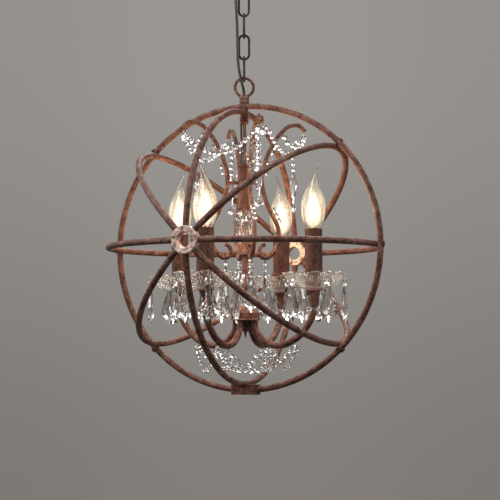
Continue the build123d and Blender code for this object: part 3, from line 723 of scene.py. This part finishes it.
@dataclass
class PetalDishes:
    """The pressed-glass bobeches: dishes of overlapping petals with oval ripples."""

    paint: Paintbox
    orb: Orb
    petals: int = 12
    columns: int = 240
    rows: int = 28
    hole: float = 0.0056
    base: float = 0.024
    rim: float = 0.0462
    rise: float = 0.0215
    foot: float = -0.0634
    wall: float = 0.0024
    flare: float = 1.25
    scallop: float = 0.14
    scallop_power: float = 0.6
    lift: float = 0.0042
    lift_level: float = 0.5
    relief: float = 0.0026
    relief_power: float = 0.7
    relief_level: float = 0.6
    relief_gain: float = 2.0
    ripple: float = 0.0014
    ripples: float = 2.5
    oval_middle: float = 0.6
    oval_reach: float = 0.42
    oval_width: float = 0.46
    weld: float = 1e-6

    def shape(self, turn: float, reach: float) -> Vector:
        """Gives a point of the dish's underside.

        Args:
            turn: The share of a full turn round the candle.
            reach: The share of the way from the hole to the rim.

        Returns:
            The point, about the candle's axis.
        """
        angle = turn * math.tau
        radius = self.hole + (self.rim - self.hole) * reach
        climb = max(0.0, (radius - self.base) / (self.rim - self.base))
        level = self.foot + self.rise * climb**self.flare
        crown = abs(math.cos(angle * self.petals / 2))
        across = ((turn * self.petals + 0.5) % 1.0) - 0.5
        outer = climb * climb * (3.0 - 2.0 * climb)
        radius *= 1.0 - self.scallop * (1.0 - crown**self.scallop_power) * outer
        level += self.lift * (crown - self.lift_level) * outer
        oval = math.hypot((climb - self.oval_middle) / self.oval_reach, across / self.oval_width)
        swell = self.relief * (crown**self.relief_power - self.relief_level)
        swell *= min(1.0, self.relief_gain * climb)
        swell += self.ripple * math.sin(oval * self.ripples * math.tau) * math.sqrt(max(0.0, 1.0 - oval))
        return Vector((radius * math.cos(angle), radius * math.sin(angle), level - swell))

    def pattern(self) -> bpy.types.Object:
        """Models one dish: a grid wrapped round the candle and thickened.

        Returns:
            The dish about the candle's axis.
        """
        bpy.ops.object.select_all(action="DESELECT")
        bpy.ops.mesh.primitive_grid_add(x_subdivisions=self.columns, y_subdivisions=self.rows, size=1.0)
        dish = bpy.context.object
        for vertex in dish.data.vertices:
            vertex.co = self.shape(vertex.co.x + 0.5, vertex.co.y + 0.5)
        bpy.ops.object.mode_set(mode="EDIT")
        bpy.ops.mesh.select_all(action="SELECT")
        bpy.ops.mesh.remove_doubles(threshold=self.weld)
        bpy.ops.mesh.normals_make_consistent(inside=False)
        bpy.ops.object.mode_set(mode="OBJECT")
        thick = dish.modifiers.new("wall", "SOLIDIFY")
        thick.thickness = self.wall
        thick.offset = 1.0 if dish.data.polygons[0].normal.z > 0 else -1.0
        bpy.ops.object.modifier_apply(modifier=thick.name)
        bpy.ops.object.shade_smooth()
        return dish

    def build(self) -> None:
        """Sets a dish on each candle cup."""
        pattern = self.pattern()
        for index, side in enumerate(self.orb.names):
            piece = place_copy(pattern, f"petal_dish_{side}", self.orb.candle(index))
            dress(piece, self.paint.of(DISH))
            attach(piece, "orb")
            if index == 0:
                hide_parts("bobeches")
        bpy.data.objects.remove(pattern)


@dataclass
class LitLamps:
    """The lamp glasses, with a glowing filament and a soft core in each."""

    paint: Paintbox
    orb: Orb
    filament_level: float = 0.052
    filament_height: float = 0.03
    filament_width: float = 0.007
    filament_wire: float = 0.0005
    loops: int = 3
    core_level: float = 0.0505
    core_size: tuple[float, float] = (0.0118, 0.0255)
    core_taper: float = 0.38
    foot: float = 0.0232
    length: float = 0.0943
    glass_tint: Colour = (1.0, 0.97, 0.9)
    glass_ior: float = 1.3
    glass_roughness: float = 0.02
    shadow_tint: Colour = (1.0, 0.98, 0.95)
    warm_colour: Colour = (1.0, 0.8, 0.55)
    warm_strength: float = 0.13
    warm_rise: Limits = (0.0, 0.3)
    warm_fall: Limits = (0.36, 0.86)

    def glass_material(self) -> bpy.types.Material:
        """Makes the lamp's clear glass, warm where the light inside fills it.

        Returns:
            The material.
        """
        material, nodes, shader, output = self.paint.fresh("Lamp glass")
        place = nodes.add("ShaderNodeTexCoord").outputs["Object"]
        level = nodes.add("ShaderNodeSeparateXYZ", Vector=place).outputs["Z"]
        above_foot = nodes.maths("SUBTRACT", level, self.orb.centre.z + self.foot)
        along = nodes.maths("DIVIDE", above_foot, self.length)
        rise = nodes.spread(along, *self.warm_rise)
        fall = nodes.spread(along, *self.warm_fall, 1.0, 0.0)
        warmth = nodes.maths("MULTIPLY", rise, fall)
        nodes.put(shader.inputs["Base Color"], self.glass_tint)
        nodes.put(shader.inputs["Transmission Weight"], 1.0)
        nodes.put(shader.inputs["IOR"], self.glass_ior)
        nodes.put(shader.inputs["Roughness"], self.glass_roughness)
        nodes.put(shader.inputs["Emission Color"], nodes.mix(warmth, BLACK, self.warm_colour))
        nodes.put(shader.inputs["Emission Strength"], self.warm_strength)
        self.paint.light_shadow(nodes, shader, output, self.shadow_tint)
        return material

    def filament(self) -> bpy.types.Object:
        """Models a caged filament of tall wire loops about the lamp's axis.

        Returns:
            The filament at the origin.
        """
        wires = []
        for turn in range(self.loops):
            bpy.ops.object.select_all(action="DESELECT")
            bpy.ops.mesh.primitive_torus_add(
                major_radius=self.filament_width / 2,
                minor_radius=self.filament_wire,
                major_segments=32,
                minor_segments=8,
                rotation=(math.pi / 2, 0.0, math.pi * turn / self.loops),
            )
            wire = settle(bpy.context.object)
            wire.scale.z = self.filament_height / self.filament_width
            wires.append(settle(wire))
        bpy.ops.object.select_all(action="DESELECT")
        for wire in wires:
            wire.select_set(True)
        bpy.context.view_layer.objects.active = wires[0]
        bpy.ops.object.join()
        return wires[0]

    def core(self) -> bpy.types.Object:
        """Models the soft light round the filament as a drop, fuller below.

        Returns:
            The core at the origin.
        """
        bpy.ops.object.select_all(action="DESELECT")
        bpy.ops.mesh.primitive_uv_sphere_add(segments=32, ring_count=20, radius=1.0)
        drop = bpy.context.object
        wide, tall = self.core_size
        for vertex in drop.data.vertices:
            taper = 1.0 - self.core_taper * vertex.co.z
            vertex.co = (vertex.co.x * wide * taper, vertex.co.y * wide * taper, vertex.co.z * tall)
        bpy.ops.object.shade_smooth()
        return drop

    def build(self) -> None:
        """Dresses the glasses and sets a filament and a core in each."""
        dress(frame["nodes"]["lamp_glasses"], self.glass_material())
        patterns = (
            ("filament", self.filament(), FILAMENT, self.filament_level),
            ("lamp_core", self.core(), CORE, self.core_level),
        )
        for label, pattern, finish, level in patterns:
            for index, side in enumerate(self.orb.names):
                place = self.orb.candle(index) @ Matrix.Translation((0.0, 0.0, level))
                piece = place_copy(pattern, f"{label}_{side}", place)
                dress(piece, self.paint.of(finish))
                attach(piece, "orb")
            bpy.data.objects.remove(pattern)


@dataclass
class SupplyCord:
    """The black cord beside the chain, in stretches from link to link."""

    paint: Paintbox
    diameter: float = 0.0042
    turn: float = math.radians(23.0)
    route: tuple[tuple[float, float, float], ...] = (
        (-0.0130, 0.0070, -0.0200),
        (-0.0130, 0.0070, -0.0620),
        (-0.0104, 0.0063, -0.1060),
        (-0.0096, 0.0065, -0.1500),
        (-0.0090, 0.0063, -0.1750),
        (-0.0046, 0.0056, -0.1960),
        (-0.0002, 0.0003, -0.2115),
        (0.0000, 0.0000, -0.2225),
    )
    chain: tuple[str, ...] = ("ceiling_fitting", "link_4", "link_3", "link_2", "link_1", "orb")
    reach: float = 0.010
    touch: float = 1e-5

    def in_frame(self, point: tuple[float, float, float]) -> Vector:
        """Turns a route point into the row frame.

        Args:
            point: Right across the chain, towards the viewer, and up, in metres.

        Returns:
            The point in the row frame.
        """
        across, near, up = point
        return Matrix.Rotation(self.turn, 3, "Z") @ Vector((across, -near, up))

    def centreline(self) -> list[Vector]:
        """Lays the route as a smooth spline.

        Returns:
            Points close together along it, from the top down.
        """
        curve = bpy.data.curves.new("supply cord route", "CURVE")
        curve.dimensions = "3D"
        curve.resolution_u = 24
        spline = curve.splines.new("NURBS")
        spline.points.add(len(self.route) - 1)
        for knot, point in zip(spline.points, self.route):
            knot.co = (*self.in_frame(point), 1.0)
        spline.order_u = 3
        spline.use_endpoint_u = True
        holder = bpy.data.objects.new("supply cord route", curve)
        bpy.context.collection.objects.link(holder)
        line = bpy.data.meshes.new_from_object(holder)
        points = [vertex.co.copy() for vertex in line.vertices]
        bpy.data.objects.remove(holder)
        bpy.data.meshes.remove(line)
        return sorted(points, key=lambda point: -point.z)

    def cut(self, points: list[Vector], top: float, bottom: float) -> list[Vector]:
        """Takes the stretch of a downward line between two levels.

        Args:
            points: The line.
            top: The level where the stretch starts.
            bottom: The level where it ends.

        Returns:
            The stretch, with its ends exactly on the levels.
        """

        def at(level: float) -> Vector:
            for above, below in zip(points, points[1:]):
                if above.z >= level >= below.z:
                    return above.lerp(below, (above.z - level) / (above.z - below.z))
            return points[-1].copy()

        between = [p for p in points if top - self.touch > p.z > bottom + self.touch]
        return [at(top), *between, at(bottom)]

    def tube(self, name: str, points: list[Vector]) -> bpy.types.Object:
        """Makes a round tube along points.

        Args:
            name: The piece's name.
            points: Its centreline.

        Returns:
            The tube as a mesh.
        """
        curve = bpy.data.curves.new(name, "CURVE")
        curve.dimensions = "3D"
        curve.bevel_depth = self.diameter / 2
        curve.bevel_resolution = 6
        curve.use_fill_caps = True
        spline = curve.splines.new("POLY")
        spline.points.add(len(points) - 1)
        for knot, point in zip(spline.points, points):
            knot.co = (*point, 1.0)
        piece = bpy.data.objects.new(name, curve)
        bpy.context.collection.objects.link(piece)
        lone(piece)
        bpy.ops.object.convert(target="MESH")
        bpy.ops.object.shade_smooth()
        return bpy.context.object

    def build(self) -> None:
        """Makes one stretch of cord over each joint of the chain."""
        points = self.centreline()
        joints = frame["record"]["behaviour"]["joints"]
        pivots = {joint["child"]: joint["pos_m"][2] for joint in joints}
        levels = [points[0].z]
        for link in self.chain[1:-1]:
            low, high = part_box(f"chain_{link}")
            levels.append((low[2] + high[2]) / 2)
        levels.append(points[-1].z)
        for index, (above, below) in enumerate(zip(self.chain, self.chain[1:])):
            stretch = self.cut(points, levels[index], levels[index + 1])
            piece = self.tube(f"cord_{below}", stretch)
            dress(piece, self.paint.of(CORD_SHEATH))
            if index == 0:
                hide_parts("supply_cord")
            pivot = pivots[below]
            middle = self.cut(points, pivot + self.reach, pivot - self.reach)
            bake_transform(piece)


def outward(azimuth: float, elevation: float) -> Vector:
    """Gives a direction away from the object.

    Args:
        azimuth: Its turn from the front towards +X, in radians.
        elevation: Its height above the horizon, in radians.

    Returns:
        The direction, of length 1.
    """
    level = math.cos(elevation)
    return Vector((math.sin(azimuth) * level, -math.cos(azimuth) * level, math.sin(elevation)))


@dataclass(frozen=True)
class SoftBox:
    """A soft light round the orb: angles in degrees, lengths in metres, power in watts."""

    name: str
    azimuth: float
    elevation: float
    distance: float
    size: float
    power: float
    colour: Colour


SOFT_BOXES = (
    SoftBox("key", -20.0, 52.0, 1.7, 0.8, 29.0, (1.0, 0.97, 0.94)),
    SoftBox("right", 105.0, 25.0, 1.8, 0.8, 13.0, (1.0, 0.98, 0.96)),
    SoftBox("left", -85.0, 18.0, 1.8, 0.8, 11.0, (1.0, 0.98, 0.96)),
    SoftBox("back", 195.0, 40.0, 1.9, 0.8, 12.0, (1.0, 0.97, 0.94)),
    SoftBox("front right", 68.0, 14.0, 1.9, 0.4, 2.4, (1.0, 0.99, 0.98)),
    SoftBox("front left", -28.0, 14.0, 2.3, 0.4, 2.8, (1.0, 0.99, 0.98)),
)


@dataclass
class Stage:
    """Background, floor, soft light and the lamps' own light.

    The limits are heights of a direction, or how far it points aside or to the viewer, from -1 to 1.
    """

    orb: Orb
    upper: Colour = (0.325, 0.308, 0.292)
    lower: Colour = (0.226, 0.208, 0.191)
    backdrop_limits: Limits = (-0.13, 0.2)
    ceiling: Colour = (1.25, 1.22, 1.19)
    ceiling_limits: Limits = (0.42, 0.75)
    ground: Colour = (0.12, 0.112, 0.105)
    ground_limits: Limits = (-0.55, -0.2)
    room: Colour = (0.2, 0.19, 0.18)
    room_limits: Limits = (0.25, 0.65)
    front: Axis = (0.397, -0.918, 0.0)
    right: Axis = (0.918, 0.397, 0.0)
    edge_shade: float = 0.91
    edge_limits: Limits = (0.03, 0.18)
    floor_level: float = -2.0
    floor_size: float = 5.0
    floor_colour: Colour = (0.16, 0.15, 0.14)
    floor_roughness: float = 0.9
    lamp_power: float = 1.0
    lamp_colour: Colour = (1.0, 0.66, 0.36)
    lamp_radius: float = 0.012
    lamp_level: float = 0.055

    def world(self) -> None:
        """Sets a warm grey background, a pale ceiling, a darker ground and a dim room behind the viewer."""
        world = bpy.data.worlds.new("Studio")
        bpy.context.scene.world = world
        world.use_nodes = True
        world.node_tree.nodes.clear()
        nodes = NodeTree(world.node_tree)
        way = nodes.add("ShaderNodeTexCoord").outputs["Generated"]
        up = nodes.add("ShaderNodeSeparateXYZ", Vector=way).outputs["Z"]
        backdrop = nodes.mix(nodes.spread(up, *self.backdrop_limits), self.lower, self.upper)
        aside = nodes.maths("ABSOLUTE", nodes.along(way, self.right))
        shade = nodes.spread(aside, *self.edge_limits, 0.0, 1.0 - self.edge_shade)
        backdrop = nodes.mix(shade, backdrop, BLACK)
        near = nodes.spread(nodes.along(way, self.front), *self.room_limits)
        studio = nodes.mix(near, backdrop, self.room)
        studio = nodes.mix(nodes.spread(up, *self.ceiling_limits), studio, self.ceiling)
        studio = nodes.mix(nodes.spread(up, *self.ground_limits, 1.0, 0.0), studio, self.ground)
        path = nodes.add("ShaderNodeLightPath")
        seen = nodes.mix(path.outputs["Is Camera Ray"], studio, backdrop)
        light = nodes.add("ShaderNodeBackground", Color=seen, Strength=1.0)
        nodes.put(nodes.add("ShaderNodeOutputWorld").inputs["Surface"], light.outputs[0])

    def floor(self) -> None:
        """Lays a plain floor far below the lamp."""
        bpy.ops.object.select_all(action="DESELECT")
        bpy.ops.mesh.primitive_plane_add(size=self.floor_size, location=(0.0, 0.0, self.floor_level))
        plane = bpy.context.object
        plane.name = "floor"
        material = bpy.data.materials.new("Floor")
        material.use_nodes = True
        shader = material.node_tree.nodes["Principled BSDF"]
        shader.inputs["Base Color"].default_value = (*self.floor_colour, 1.0)
        shader.inputs["Roughness"].default_value = self.floor_roughness
        dress(plane, material)

    def soft_light(self, box: SoftBox) -> None:
        """Adds a soft box that looks at the orb.

        Args:
            box: The soft box.
        """
        data = bpy.data.lights.new(box.name, "AREA")
        data.size = box.size
        data.energy = box.power
        data.color = box.colour
        light = bpy.data.objects.new(box.name, data)
        bpy.context.collection.objects.link(light)
        turn, rise = math.radians(box.azimuth), math.radians(box.elevation)
        way = outward(turn, rise)
        light.location = self.orb.centre + way * box.distance
        light.rotation_euler = way.to_track_quat("Z", "Y").to_euler()

    def lamp_light(self) -> None:
        """Puts the warm light of each lamp in its glass."""
        for index, side in enumerate(self.orb.names):
            data = bpy.data.lights.new(f"lamp light {side}", "POINT")
            data.energy = self.lamp_power
            data.color = self.lamp_colour
            data.shadow_soft_size = self.lamp_radius
            light = bpy.data.objects.new(data.name, data)
            light.visible_camera = False
            light.visible_transmission = False
            bpy.context.collection.objects.link(light)
            light.matrix_world = self.orb.candle(index) @ Matrix.Translation((0.0, 0.0, self.lamp_level))

    def build(self) -> None:
        """Sets the stage."""
        bpy.context.scene.view_settings.view_transform = "Standard"
        self.world()
        self.floor()
        for box in SOFT_BOXES:
            self.soft_light(box)
        self.lamp_light()


@dataclass(frozen=True)
class PhotoCamera:
    """The photograph's viewpoint, as fitted to its rings."""

    orb: Orb
    azimuth: float = math.radians(23.401)
    elevation: float = math.radians(-3.237)
    roll: float = math.radians(-0.291)
    distance: float = 2.1008
    across: float = -0.007357
    up: float = 0.003826
    focal_pixels: float = 1413.4
    frame_pixels: float = 500.0
    sensor: float = 36.0
    nearest: float = 0.05

    def build(self) -> None:
        """Places the camera."""
        back = outward(self.azimuth, self.elevation)
        level = Vector((math.cos(self.azimuth), math.sin(self.azimuth), 0.0))
        rise = back.cross(level)
        right = level * math.cos(self.roll) + rise * math.sin(self.roll)
        top = rise * math.cos(self.roll) - level * math.sin(self.roll)
        data = bpy.data.cameras.new("photo camera")
        data.sensor_width = self.sensor
        data.lens = self.focal_pixels * self.sensor / self.frame_pixels
        data.clip_start = self.nearest
        camera = bpy.data.objects.new("photo camera", data)
        bpy.context.collection.objects.link(camera)
        place = self.orb.centre + back * self.distance - right * self.across - top * self.up
        turn = Matrix((right, top, back)).transposed().to_4x4()
        camera.matrix_world = Matrix.Translation(place) @ turn
        bpy.context.scene.camera = camera


def main() -> None:
    """Dresses the object and sets the stage."""
    logging.basicConfig(level=logging.INFO)
    paint = Paintbox()
    orb = Orb.from_frame()
    log.info("orb centre at %s", tuple(round(v, 4) for v in orb.centre))
    parts = (
        IronWork(paint),
        SmallFittings(paint),
        Crystals(paint),
        PetalDishes(paint, orb),
        LitLamps(paint, orb),
        SupplyCord(paint),
        Stage(orb),
        PhotoCamera(orb),
    )
    for part in parts:
        part.build()


if __name__ == "__main__":
    main()
